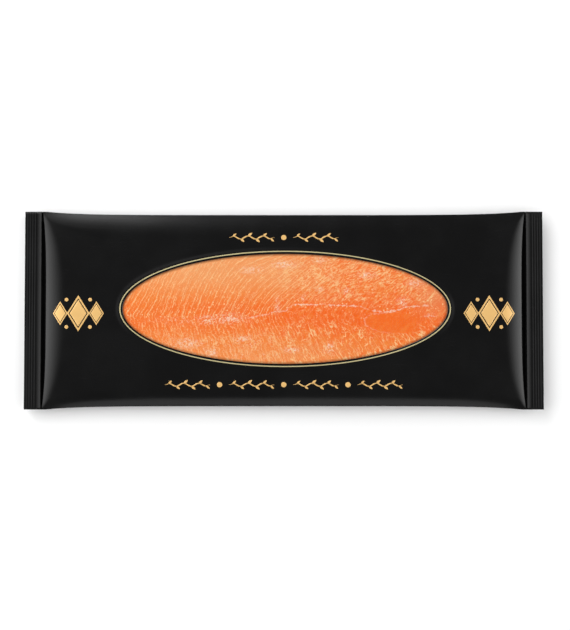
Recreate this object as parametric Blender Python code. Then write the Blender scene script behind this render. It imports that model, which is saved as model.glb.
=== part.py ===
"""Pack of smoked salmon: a black film tube with crimped ends and a clear oval window over the fish.

The pack lies on its back. X runs along the pack, Y across it and Z up, in metres, with the origin on
the table under the middle of the pack.
"""

import math

import bmesh
import bpy

MM = 0.001

# Whole pack, in millimetres
PACK_LENGTH = 390.0
SEAL_WIDTH = 149.0        # the flat film tube, full width at the two ends
BODY_WIDTH = 144.2        # the filled tube at mid length, where it pulls in
PULL_IN_RUN = 30.0        # how fast the sides pull in, away from an end
PACK_HEIGHT = 12.0        # top of the filled part at its middle
CAMBER_ACROSS = 0.6       # fall of the top from the middle to the long edges
CAMBER_ALONG = 0.5        # fall of the top from the middle to the ends
FILM = 0.8                # wall of the film
GAP = 0.35                # clearance between neighbouring pieces

# End seals, measured inwards from each end
CRIMP_LENGTH = 8.9
RIB_PITCH = 1.9
RIB_HEIGHT = 0.4
STRIP_LENGTH = 3.5        # plain film between the ribs and the crease
STRIP_RISE = 0.5
CREASE_LENGTH = 3.5
CREASE_DEPTH = 1.5
SEAL_LEVEL = 5.6          # middle plane of the seals above the table

# Rounded flanks of the filled part
END_FLANK = 13.2          # run of an end flank on the centre line
CORNER_FLANK = 2.4        # run of the same flank at the corners
CORNER_POWER = 3.2        # how late the flank narrows towards a corner
SIDE_FLANK = 5.3          # run of the flanks along the two long edges

# Folded back seam, pressed flat into the underside
SEAM_EDGES = (-3.0, 9.0)  # the seam strip's two long edges
SEAM_GROOVE = 1.0
SEAM_DEPTH = 0.4

# Window
WINDOW_CENTRE = (1.0, 0.8)
WINDOW_LENGTH = 243.4
WINDOW_WIDTH = 82.4

# Fish
FISH_LENGTH = 304.0
FISH_WIDTH = 114.0
FISH_POWER = 2.8          # squareness of its outline
FLAKE_PITCH = 5.6
FLAKE_RELIEF = 0.4
FLAKE_SLANT_TOP = 0.52    # run along X for each unit across, on the far side of the mid line
FLAKE_SLANT_BOTTOM = 0.34
MID_LINE = -5.5           # the fish's mid line, where the flakes turn back

# Facets
FLANK_STEPS = 6
PLATEAU_RINGS = 10
TOP_STRIPS = 8
WINDOW_SIDES = 96
FISH_SIDES = 88

HALF_LENGTH = PACK_LENGTH / 2
BODY_START = HALF_LENGTH - CRIMP_LENGTH - STRIP_LENGTH - CREASE_LENGTH


def clear_scene():
    """Remove every object of the scene, so that the pack stands alone."""
    for obj in list(bpy.data.objects):
        bpy.data.objects.remove(obj, do_unlink=True)


def make_material(name, colour, roughness, alpha=1.0):
    """A plain finish for one sub-part, from a linear colour."""
    material = bpy.data.materials.new(name)
    material.use_nodes = True
    shader = material.node_tree.nodes["Principled BSDF"]
    shader.inputs["Base Color"].default_value = (*colour, 1.0)
    shader.inputs["Roughness"].default_value = roughness
    shader.inputs["Metallic"].default_value = 0.0
    shader.inputs["Alpha"].default_value = alpha
    return material


def mesh_object(name, points, faces, material=None):
    """An object from points in millimetres, with its faces turned outwards."""
    mesh = bpy.data.meshes.new(name)
    mesh.from_pydata([tuple(c * MM for c in point) for point in points], [], faces)
    shape = bmesh.new()
    shape.from_mesh(mesh)
    bmesh.ops.recalc_face_normals(shape, faces=shape.faces)
    shape.to_mesh(mesh)
    shape.free()
    obj = bpy.data.objects.new(name, mesh)
    bpy.context.collection.objects.link(obj)
    if material:
        mesh.materials.append(material)
    return obj


def make_cutter(obj):
    """Turn an object into a hidden guide that only shapes other pieces."""
    obj.hide_render = True
    obj.display_type = "WIRE"
    return obj


def add_boolean(obj, other, operation):
    """Cut, join or trim one object by another."""
    boolean = obj.modifiers.new(other.name, "BOOLEAN")
    boolean.operation = operation
    boolean.object = other
    boolean.solver = "EXACT"


def loft(rings):
    """Points and faces of a closed body through rings with equal numbers of points."""
    count = len(rings[0])
    points = [point for ring in rings for point in ring]
    faces = []
    for row in range(len(rings) - 1):
        for i in range(count):
            j = (i + 1) % count
            faces.append((row * count + i, row * count + j, (row + 1) * count + j, (row + 1) * count + i))
    faces.append(tuple(range(count)))
    faces.append(tuple(range(len(points) - count, len(points))))
    return points, faces


def oval_ring(length, width, power, sides, height):
    """A level superellipse ring, power 2 for an ellipse."""
    ring = []
    for i in range(sides):
        turn = 2 * math.pi * i / sides
        cos, sin = math.cos(turn), math.sin(turn)
        x = math.copysign(abs(cos) ** (2 / power), cos) * length / 2
        y = math.copysign(abs(sin) ** (2 / power), sin) * width / 2
        ring.append((x, y, height))
    return ring


def half_width(x):
    """Half the pack's width at x: full at the ends, pulled in where it is filled."""
    inset = HALF_LENGTH - abs(x)
    return SEAL_WIDTH / 2 - (SEAL_WIDTH - BODY_WIDTH) / 2 * (1 - math.exp(-inset / PULL_IN_RUN))


def top_height(x, y):
    """Height of the filled part's top away from its flanks."""
    across = (2 * y / BODY_WIDTH) ** 2
    along = (x / BODY_START) ** 4
    return PACK_HEIGHT - CAMBER_ACROSS * across - CAMBER_ALONG * along


def end_flank(side):
    """Run of the end flank at a share of the half width, narrow at the corners."""
    return CORNER_FLANK + (END_FLANK - CORNER_FLANK) * (1 - side ** CORNER_POWER)


def seal_profile():
    """Insets from the end and the film's height there: ribs, plain strip, then the crease."""
    profile = [(0.0, 0.0)]
    ribs = round(CRIMP_LENGTH / RIB_PITCH * 2)
    for i in range(ribs):
        profile.append((RIB_PITCH / 4 + i * RIB_PITCH / 2, RIB_HEIGHT / 2 * (1 if i % 2 == 0 else -1)))
    for share in (0.15, 0.5, 0.85):
        profile.append((CRIMP_LENGTH + share * STRIP_LENGTH, STRIP_RISE * math.sin(math.pi * share)))
    for share in (0.2, 0.5, 0.8):
        inset = CRIMP_LENGTH + STRIP_LENGTH + share * CREASE_LENGTH
        profile.append((inset, -CREASE_DEPTH * math.sin(math.pi * share)))
    return profile


def flank_angles():
    return [0.5 * math.pi * i / FLANK_STEPS for i in range(FLANK_STEPS + 1)]


def stations(start, with_seals):
    """Rings from one end to the other as (reach, flank run share, lift, film height)."""
    half = [(start, 1 - math.cos(a), math.sin(a), 0.0) for a in flank_angles()]
    if with_seals:
        half = [(HALF_LENGTH - inset, 0.0, 0.0, rise) for inset, rise in seal_profile()] + half
    middle = []
    for i in range(1, PLATEAU_RINGS + 1):
        share = 1 - 2 * i / (PLATEAU_RINGS + 1)
        middle.append((share * start, share, 1.0, 0.0))
    return half + middle + [(-reach, -run, lift, rise) for reach, run, lift, rise in reversed(half)]


def across_top(half, flank):
    """Places across the top from +Y to -Y, as (y, lift): rounded at both long edges."""
    edge = [(half - flank * (1 - math.cos(a)), math.sin(a)) for a in flank_angles()]
    flat = half - flank
    middle = [(flat * (1 - 2 * i / TOP_STRIPS), 1.0) for i in range(1, TOP_STRIPS)]
    return edge + middle + [(-y, lift) for y, lift in reversed(edge)]


def across_bottom(half, flank, seam):
    """Places across the underside from -Y to +Y, as (y, lift, groove depth)."""
    edge = [(-half + flank * (1 - math.cos(a)), math.sin(a), 0.0) for a in flank_angles()]
    middle = []
    for centre in SEAM_EDGES if seam else ():
        for offset, depth in ((-1.0, 0.0), (-0.4, SEAM_DEPTH), (0.4, SEAM_DEPTH), (1.0, 0.0)):
            middle.append((centre + offset * SEAM_GROOVE / 2, 1.0, depth))
    spread = [(-0.5 * (half - flank), 1.0, 0.0)], [(0.5 * (half - flank), 1.0, 0.0)]
    return edge + spread[0] + middle + spread[1] + [(-y, lift, 0.0) for y, lift, _ in reversed(edge)]


def tube_rings(inset, edge, with_seals):
    """Rings round the filled tube: the outer skin at inset 0, or the hollow inside at a wall's inset."""
    rings = []
    for reach, run, lift, rise in stations(BODY_START - 1.5 * inset, with_seals):
        ring = []
        half = half_width(reach) - 1.5 * inset
        middle = SEAL_LEVEL + rise
        for y, round_off in across_top(half, SIDE_FLANK):
            x = reach - run * end_flank(abs(y) / half)
            full = top_height(x, y) - inset - middle - edge
            ring.append((x, y, middle + edge + full * lift * round_off))
        for y, round_off, groove in across_bottom(half, SIDE_FLANK, with_seals):
            x = reach - run * end_flank(abs(y) / half)
            full = middle - edge - inset
            ring.append((x, y, middle - edge - (full - groove) * lift * round_off))
        rings.append(ring)
    return rings


def make_hollow():
    """The room inside the film."""
    return make_cutter(mesh_object("hollow", *loft(tube_rings(FILM, FILM / 4, False))))


def window_outline(inset, height):
    ring = oval_ring(WINDOW_LENGTH - 2 * inset, WINDOW_WIDTH - 2 * inset, 2.0, WINDOW_SIDES, height)
    return [(x + WINDOW_CENTRE[0], y + WINDOW_CENTRE[1], z) for x, y, z in ring]


def make_window_cutter():
    """An oval plug that opens the top of the film over the fish."""
    rings = [window_outline(0.0, height) for height in (SEAL_LEVEL + 3.0, PACK_HEIGHT + 2.0)]
    return make_cutter(mesh_object("window_cutter", *loft(rings)))


def make_wrapper(material):
    """The film tube with its two crimped ends, hollow, and open at the window."""
    wrapper = mesh_object("wrapper", *loft(tube_rings(0.0, FILM / 2, True)), material)
    add_boolean(wrapper, make_hollow(), "DIFFERENCE")
    add_boolean(wrapper, make_window_cutter(), "DIFFERENCE")
    return wrapper


def make_window(material):
    """The clear oval pane, flush with the film on both faces."""
    outline = window_outline(GAP, 0.0)
    faces_up = []
    points = []
    shares = (1.0, 0.7, 0.35)
    for depth in (0.0, FILM):
        for share in shares:
            for x, y, _ in outline:
                px = WINDOW_CENTRE[0] + share * (x - WINDOW_CENTRE[0])
                py = WINDOW_CENTRE[1] + share * (y - WINDOW_CENTRE[1])
                points.append((px, py, top_height(px, py) - depth))
        points.append((*WINDOW_CENTRE, top_height(*WINDOW_CENTRE) - depth))
    side = len(shares) * WINDOW_SIDES + 1
    for base in (0, side):
        hub = base + side - 1
        for i in range(WINDOW_SIDES):
            j = (i + 1) % WINDOW_SIDES
            for row in range(len(shares) - 1):
                outer, inner = base + row * WINDOW_SIDES, base + (row + 1) * WINDOW_SIDES
                faces_up.append((outer + i, outer + j, inner + j, inner + i))
            last = base + (len(shares) - 1) * WINDOW_SIDES
            faces_up.append((last + i, last + j, hub))
    rim = [(i, (i + 1) % WINDOW_SIDES, side + (i + 1) % WINDOW_SIDES, side + i) for i in range(WINDOW_SIDES)]
    return mesh_object("window", points, faces_up + rim, material)


def flake_block():
    """A slab whose top is ridged by the flakes, which run back from the mid line on both sides."""
    rows = [FISH_WIDTH * share for share in (-0.56, -0.42, -0.28, -0.16)]
    rows += [MID_LINE] + [FISH_WIDTH * share for share in (0.07, 0.2, 0.34, 0.45, 0.56)]
    columns = 2 * math.ceil((FISH_LENGTH + 2 * FISH_WIDTH) / FLAKE_PITCH / 2) + 1
    steps = [(i - (columns - 1) / 2) * FLAKE_PITCH / 2 for i in range(2 * columns)]
    points = []
    for y in rows:
        slant = FLAKE_SLANT_TOP if y > MID_LINE else FLAKE_SLANT_BOTTOM
        for i, step in enumerate(steps):
            x = step - FISH_LENGTH / 4 + slant * abs(y - MID_LINE)
            relief = FLAKE_RELIEF * (i % 2)
            points.append((x, y, top_height(x, y) - FILM - GAP - relief))
    count = len(steps)
    floor = [(x, y, -2.0) for x, y, _ in points]
    size = len(points)
    faces = []
    for row in range(len(rows) - 1):
        for i in range(count - 1):
            quad = (row * count + i, row * count + i + 1, (row + 1) * count + i + 1, (row + 1) * count + i)
            faces.append(quad)
            faces.append(tuple(size + k for k in quad))
    edge = list(range(count)) + [row * count + count - 1 for row in range(1, len(rows))]
    edge += list(range(len(rows) * count - 2, (len(rows) - 1) * count - 1, -1))
    edge += [row * count for row in range(len(rows) - 2, 0, -1)]
    for k, a in enumerate(edge):
        b = edge[(k + 1) % len(edge)]
        faces.append((a, b, size + b, size + a))
    return make_cutter(mesh_object("flake_block", points + floor, faces))


def make_fish(material):
    """The smoked salmon: a flat piece with rounded edges and flaky layers across its top."""
    floor = FILM + GAP
    profile = ((0.0, 0.975), (1.2, 1.0), (6.0, 1.0), (8.2, 0.985), (9.4, 0.95), (11.5, 0.86))
    rings = []
    for height, share in profile:
        inset = FISH_WIDTH * (1 - share)
        rings.append(oval_ring(FISH_LENGTH - inset, FISH_WIDTH - inset, FISH_POWER, FISH_SIDES, floor + height))
    fish = mesh_object("salmon", *loft(rings), material)
    add_boolean(fish, flake_block(), "INTERSECT")
    return fish


def main():
    clear_scene()
    make_wrapper(make_material("black_film", (0.010, 0.010, 0.010), 0.32))
    make_window(make_material("clear_film", (0.9, 0.9, 0.9), 0.08, alpha=0.15))
    make_fish(make_material("smoked_salmon", (0.90, 0.24, 0.07), 0.45))


main()
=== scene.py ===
"""Black film pack of smoked salmon: film, crimped seals, window, fish and gold print, in a plain studio."""

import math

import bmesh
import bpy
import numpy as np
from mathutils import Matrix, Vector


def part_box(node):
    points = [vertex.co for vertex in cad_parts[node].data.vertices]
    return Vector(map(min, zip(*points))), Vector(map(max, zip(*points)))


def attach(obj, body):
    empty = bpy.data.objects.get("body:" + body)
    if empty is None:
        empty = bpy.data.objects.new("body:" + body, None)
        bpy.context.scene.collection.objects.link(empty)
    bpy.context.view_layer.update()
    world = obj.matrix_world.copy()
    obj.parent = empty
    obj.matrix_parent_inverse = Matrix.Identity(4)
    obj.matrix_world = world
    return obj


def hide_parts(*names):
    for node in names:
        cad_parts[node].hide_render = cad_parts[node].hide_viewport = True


bl_info = {
    "name": "Smoked Salmon Pack",
    "version": (1, 0, 0),
    "blender": (4, 5, 0),
    "location": "View3D > Sidebar > Salmon Pack",
    "description": "Builds the film, seals, window, fish and gold print of a smoked salmon pack",
    "category": "Add Mesh",
}

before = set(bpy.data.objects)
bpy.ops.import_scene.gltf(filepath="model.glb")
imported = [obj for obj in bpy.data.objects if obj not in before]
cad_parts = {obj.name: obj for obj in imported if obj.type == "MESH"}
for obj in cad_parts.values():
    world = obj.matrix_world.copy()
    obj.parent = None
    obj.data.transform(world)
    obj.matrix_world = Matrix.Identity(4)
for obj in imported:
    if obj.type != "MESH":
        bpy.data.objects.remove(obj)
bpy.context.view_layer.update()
BODY = "root"

MM = 0.001
WRAPPER_LOW, WRAPPER_HIGH = (np.array(corner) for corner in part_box("wrapper"))
WINDOW_LOW, WINDOW_HIGH = (np.array(corner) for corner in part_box("window"))
FISH_LOW, FISH_HIGH = (np.array(corner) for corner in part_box("salmon"))
PANE_GAP = 0.35 * MM


def srgb(red, green, blue):
    """A linear colour from 8-bit screen values."""
    shares = (red / 255, green / 255, blue / 255)
    return tuple(s / 12.92 if s <= 0.04045 else ((s + 0.055) / 1.055) ** 2.4 for s in shares)


def shade(colour, factor):
    """A colour made darker or lighter."""
    return [min(1.0, factor * c) for c in colour]


def length_property(label, text, default):
    return bpy.props.FloatProperty(name=label, description=text, default=default, unit="LENGTH", precision=5)


def colour_property(label, text, default):
    return bpy.props.FloatVectorProperty(name=label, description=text, default=default, subtype="COLOR",
                                         size=3, min=0.0, max=1.0)


class FilmSizes(bpy.types.PropertyGroup):
    """Sizes of the film tube and its end seals."""

    length: length_property("Length", "End to end", WRAPPER_HIGH[0] - WRAPPER_LOW[0])
    seal_width: length_property("Seal width", "Flat film tube", WRAPPER_HIGH[1] - WRAPPER_LOW[1])
    body_width: length_property("Filled width", "Across the middle", 143.9 * MM)
    pull_in: length_property("Pull in", "How fast the sides pull in from a seal", 26 * MM)
    height: length_property("Height", "Top of the film at its middle", WINDOW_HIGH[2] - 0.3 * MM)
    camber_across: length_property("Camber across", "Fall to the long edges", 0.6 * MM)
    camber_along: length_property("Camber along", "Fall to the ends", 0.5 * MM)
    thickness: length_property("Film", "Thickness of the film", 0.22 * MM)
    fold_edge: length_property("Fold edge", "Half the thickness where the tube folds", 0.4 * MM)
    seal_level: length_property("Seal level", "Seals above the table", 5.6 * MM)
    crimp: length_property("Crimp", "Ribbed part of a seal", 8.9 * MM)
    rib_pitch: length_property("Rib pitch", "From rib to rib", 1.9 * MM)
    rib_height: length_property("Rib height", "Trough to crest", 0.18 * MM)
    strip: length_property("Strip", "Plain film inside the ribs", 3.5 * MM)
    strip_rise: length_property("Strip rise", "Swell of that strip", 0.9 * MM)
    crease: length_property("Crease", "Groove between seal and filled part", 3.65 * MM)
    crease_depth: length_property("Crease depth", "Depth of that groove", 3.2 * MM)
    end_flank: length_property("End flank", "Run of an end's slope at mid width", 17.0 * MM)
    corner_flank: length_property("Corner flank", "Run of that slope at a corner", 0.6 * MM)
    side_flank: length_property("Side flank", "Run of the slope on a long edge", 17.5 * MM)
    side_start: length_property("Side start", "Run of the slope on a long edge at a corner", 5.0 * MM)
    fold_height: length_property("Fold height", "Soft folds that run in from a corner", 0.16 * MM)
    waviness: length_property("Waviness", "Slack in the flat film", 0.03 * MM)
    rim_rise: length_property("Rim rise", "How far the window stands proud", 0.65 * MM)


class PrintSizes(bpy.types.PropertyGroup):
    """Sizes of the gold print."""

    ring_gap: length_property("Ring gap", "Black film between the window and the ring", 1.6 * MM)
    ring_width: length_property("Ring width", "Line round the window", 0.78 * MM)
    dot: length_property("Dot", "Diameter of the round dots", 3.9 * MM)
    vine_length: length_property("Vine length", "Each vine, end to end", 34.0 * MM)
    vine_pitch: length_property("Vine pitch", "From vine to vine in a row", 48.0 * MM)
    wave_height: length_property("Wave height", "Trough to crest of the vines", 2.2 * MM)
    wave_pitch: length_property("Wave pitch", "From crest to crest of the vines", 11.0 * MM)
    pen: length_property("Pen", "Broadest stroke of the vines", 0.85 * MM)
    leaf_length: length_property("Leaf length", "Leaves on the vines", 4.6 * MM)
    leaf_width: length_property("Leaf width", "Leaves on the vines", 1.9 * MM)
    lozenge_width: length_property("Lozenge width", "Large lozenge, side to side", 17.0 * MM)
    lozenge_height: length_property("Lozenge height", "Large lozenge, tip to tip", 27.0 * MM)
    lift: length_property("Lift", "Ink above the film", 0.03 * MM)


class FishSizes(bpy.types.PropertyGroup):
    """Sizes of the fish."""

    flake_pitch: length_property("Flake pitch", "Between the pale lines", 5.0 * MM)
    relief: length_property("Relief", "Depth of the flakes", 0.22 * MM)
    gap: length_property("Gap", "Between the fish and the window film", 0.3 * MM)


class PackColours(bpy.types.PropertyGroup):
    """Colours of the pack and its studio."""

    film: colour_property("Film", "Black film", (0.0042, 0.0042, 0.0043))
    gold: colour_property("Gold", "Printed ornaments", srgb(229, 184, 114))
    ring_gold: colour_property("Ring gold", "Line round the window", srgb(192, 180, 134))
    pale: colour_property("Pale fish", "Pale flesh", srgb(229, 153, 97))
    flesh: colour_property("Fish", "Flesh between the lines", srgb(231, 126, 56))
    deep: colour_property("Deep fish", "Flesh along the mid line", srgb(232, 95, 23))
    blush: colour_property("Blush", "Flesh at the right end", srgb(221, 136, 90))
    fat: colour_property("Fat", "Fat lines", srgb(236, 188, 134))
    bead: colour_property("Bead", "Beads of fat", srgb(238, 202, 152))
    white_fat: colour_property("White fat", "Thick fat along the mid line", srgb(234, 202, 180))
    floor: colour_property("Floor", "Table top", (0.93, 0.93, 0.93))


def maths(operation, reflected=False):
    """An operator method that adds a Math node."""
    def method(self, other):
        return self.nodes.math(operation, *((other, self) if reflected else (self, other)))
    return method


class Value:
    """A socket that takes part in Python arithmetic, each step adding a Math node."""

    def __init__(self, nodes, socket):
        self.nodes = nodes
        self.socket = socket

    def other(self, key):
        """Another output of the same node."""
        return Value(self.nodes, Nodes.find(self.socket.node.outputs, key))

    def __neg__(self):
        return self * -1.0

    def __abs__(self):
        return self.nodes.math("ABSOLUTE", self)

    __add__ = __radd__ = maths("ADD")
    __mul__ = __rmul__ = maths("MULTIPLY")
    __sub__, __rsub__ = maths("SUBTRACT"), maths("SUBTRACT", reflected=True)
    __truediv__, __rtruediv__ = maths("DIVIDE"), maths("DIVIDE", reflected=True)
    __pow__ = maths("POWER")


class Nodes:
    """Adds nodes to one shader or geometry tree."""

    def __init__(self, tree):
        self.tree = tree

    @staticmethod
    def find(sockets, key):
        """A socket by number, identifier or name."""
        if isinstance(key, int):
            return sockets[key]
        for socket in sockets:
            if socket.identifier == key:
                return socket
        return next(socket for socket in sockets if socket.name == key)

    def add(self, kind, settings=None, inputs=None, output=0):
        """A node with its settings, then its sockets' values or links. Gives one output."""
        node = self.tree.nodes.new(kind)
        for name, value in (settings or {}).items():
            setattr(node, name, value)
        for key, value in (inputs or {}).items():
            socket = self.find(node.inputs, key)
            if isinstance(value, Value):
                self.tree.links.new(value.socket, socket)
            else:
                socket.default_value = value
        return Value(self, self.find(node.outputs, output)) if node.outputs else node

    def math(self, operation, *values, clamp=False):
        settings = {"operation": operation, "use_clamp": clamp}
        return self.add("ShaderNodeMath", settings, dict(enumerate(values)))

    def clamp(self, value):
        return self.math("ADD", value, 0.0, clamp=True)

    def step(self, value, low, high, start=0.0, end=1.0):
        """A smooth step from start to end while value goes from low to high."""
        return self.add("ShaderNodeMapRange", {"interpolation_type": "SMOOTHSTEP"},
                        {"Value": value, "From Min": low, "From Max": high, "To Min": start, "To Max": end})

    def hump(self, value, centre, half):
        """One at the centre, falling smoothly to none at half on either side."""
        return self.step(abs(value - centre), half, 0.0)

    def vector(self, x, y, z=0.0):
        return self.add("ShaderNodeCombineXYZ", None, {"X": x, "Y": y, "Z": z})

    def split(self, vector):
        """A vector's x, y and z."""
        parts = self.add("ShaderNodeSeparateXYZ", None, {0: vector})
        return parts, parts.other("Y"), parts.other("Z")

    def bump(self, height, strength, distance):
        sockets = {"Strength": strength, "Distance": distance, "Height": height}
        return self.add("ShaderNodeBump", None, sockets)

    def join(self, first, second):
        """Two geometries as one."""
        both = self.add("GeometryNodeJoinGeometry", None, {"Geometry": first})
        self.tree.links.new(second.socket, both.socket.node.inputs[0])
        return both

    def noise(self, vector, scale, detail=2.0, roughness=0.5, distortion=0.0):
        sockets = {"Vector": vector, "Scale": scale, "Detail": detail, "Roughness": roughness,
                   "Distortion": distortion}
        return self.add("ShaderNodeTexNoise", None, sockets)

    def mix(self, factor, low, high):
        """A colour between two colours."""
        colours = {key: value if isinstance(value, Value) else (*value, 1.0)
                   for key, value in (("A_Color", low), ("B_Color", high))}
        return self.add("ShaderNodeMix", {"data_type": "RGBA"}, {"Factor_Float": factor, **colours},
                        "Result_Color")


def new_material(name):
    """A material with an empty tree but for its output."""
    material = bpy.data.materials.new(name)
    material.use_nodes = True
    tree = material.node_tree
    tree.nodes.clear()
    output = tree.nodes.new("ShaderNodeOutputMaterial")
    return material, Nodes(tree), output


def finish_surface(nodes, output, sockets):
    """Join a Principled shader with these sockets to the material's output."""
    shader = nodes.add("ShaderNodeBsdfPrincipled", None, sockets)
    nodes.tree.links.new(shader.socket, output.inputs["Surface"])


def object_place(nodes):
    """Object coordinates in millimetres: the whole vector, then x, y and z."""
    place = nodes.add("ShaderNodeTexCoord", None, None, "Object")
    place = nodes.add("ShaderNodeVectorMath", {"operation": "SCALE"}, {0: place, "Scale": 1 / MM})
    return place, *nodes.split(place)


def black_film_material(colours):
    """Satin black film: a faint orange peel, patches of gloss and fine rub marks."""
    material, nodes, output = new_material("black_film")
    place, x, y, z = object_place(nodes)
    patches = nodes.noise(place, 0.035, 2.0, 0.5)
    peel = nodes.noise(place, 1.6, 3.0, 0.55)
    rubs = nodes.noise(nodes.vector(x * 0.12, y * 1.8, z), 0.9, 4.0, 0.7)
    rub_mask = nodes.step(rubs, 0.60, 0.74)
    roughness = 0.20 + 0.05 * patches + 0.05 * (peel - 0.5) + 0.04 * rub_mask
    tint = nodes.mix(nodes.step(patches, 0.3, 0.7), shade(colours.film, 0.85), shade(colours.film, 1.2))
    dusty = nodes.mix(rub_mask * 0.25, tint, (0.016, 0.016, 0.017))
    finish_surface(nodes, output, {"Base Color": dusty, "Roughness": roughness,
                                   "Normal": nodes.bump(peel, 0.12, 0.1 * MM), "Specular IOR Level": 0.21})
    return material


def gold_material(name, colour):
    """Printed gold ink: warm, fine-grained and a little patchy."""
    material, nodes, output = new_material(name)
    place, x, y, z = object_place(nodes)
    grain = nodes.noise(place, 4.0, 3.0, 0.7)
    patches = nodes.noise(place, 0.09, 2.0, 0.5)
    tone = nodes.clamp(0.5 + 0.5 * (grain - 0.5) + 0.7 * (patches - 0.5))
    ink = nodes.mix(tone, shade(colour, 0.86), shade(colour, 1.12))
    finish_surface(nodes, output, {"Base Color": ink, "Roughness": 0.36 + 0.12 * grain, "Metallic": 0.15,
                                   "Normal": nodes.bump(grain, 0.15, 0.05 * MM)})
    return material


# How much of the clear film's mirror shows, and the most of it at any angle
GLOSS_SHARE = 0.2
GLOSS_LIMIT = 0.006


def clear_film_material():
    """Clear film: see-through, with gloss where it turns away."""
    material, nodes, output = new_material("clear_film")
    place, x, y, z = object_place(nodes)
    ripple = nodes.noise(place, 0.12, 2.0, 0.5)
    bump = nodes.bump(ripple, 0.25, 0.4 * MM)
    fresnel = nodes.add("ShaderNodeFresnel", None, {"IOR": 1.45, "Normal": bump})
    clear = nodes.add("ShaderNodeBsdfTransparent", None, {"Color": (0.99, 0.985, 0.98, 1.0)})
    gloss = nodes.add("ShaderNodeBsdfGlossy", None, {"Color": (1.0, 1.0, 1.0, 1.0), "Roughness": 0.12,
                                                     "Normal": bump})
    share = nodes.math("MINIMUM", fresnel * GLOSS_SHARE, GLOSS_LIMIT)
    film = nodes.add("ShaderNodeMixShader", None, {0: share, 1: clear, 2: gloss})
    nodes.tree.links.new(film.socket, output.inputs["Surface"])
    return material


# What the fish's mesh tells its finish: height over the mid line, count of flakes, how white the mid line
# shows, dabs of white fat, and distance in from the window's edge
FISH_FIELDS = ("across", "flake", "white", "dabs", "rim")


def veins(nodes, place, width):
    """Wandering hairlines, where a soft noise passes its middle value."""
    return nodes.step(abs(nodes.noise(place, 1.0, 2.0, 0.5, 0.35) - 0.5), width, width * 0.2)


def slanted(nodes, x, y, angle, stretch, seed):
    """Plan coordinates turned by an angle in degrees and stretched along and across that direction."""
    cosine, sine = math.cos(math.radians(angle)), math.sin(math.radians(angle))
    return nodes.vector((x * cosine + y * sine) * stretch[0], (y * cosine - x * sine) * stretch[1], seed)


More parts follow.
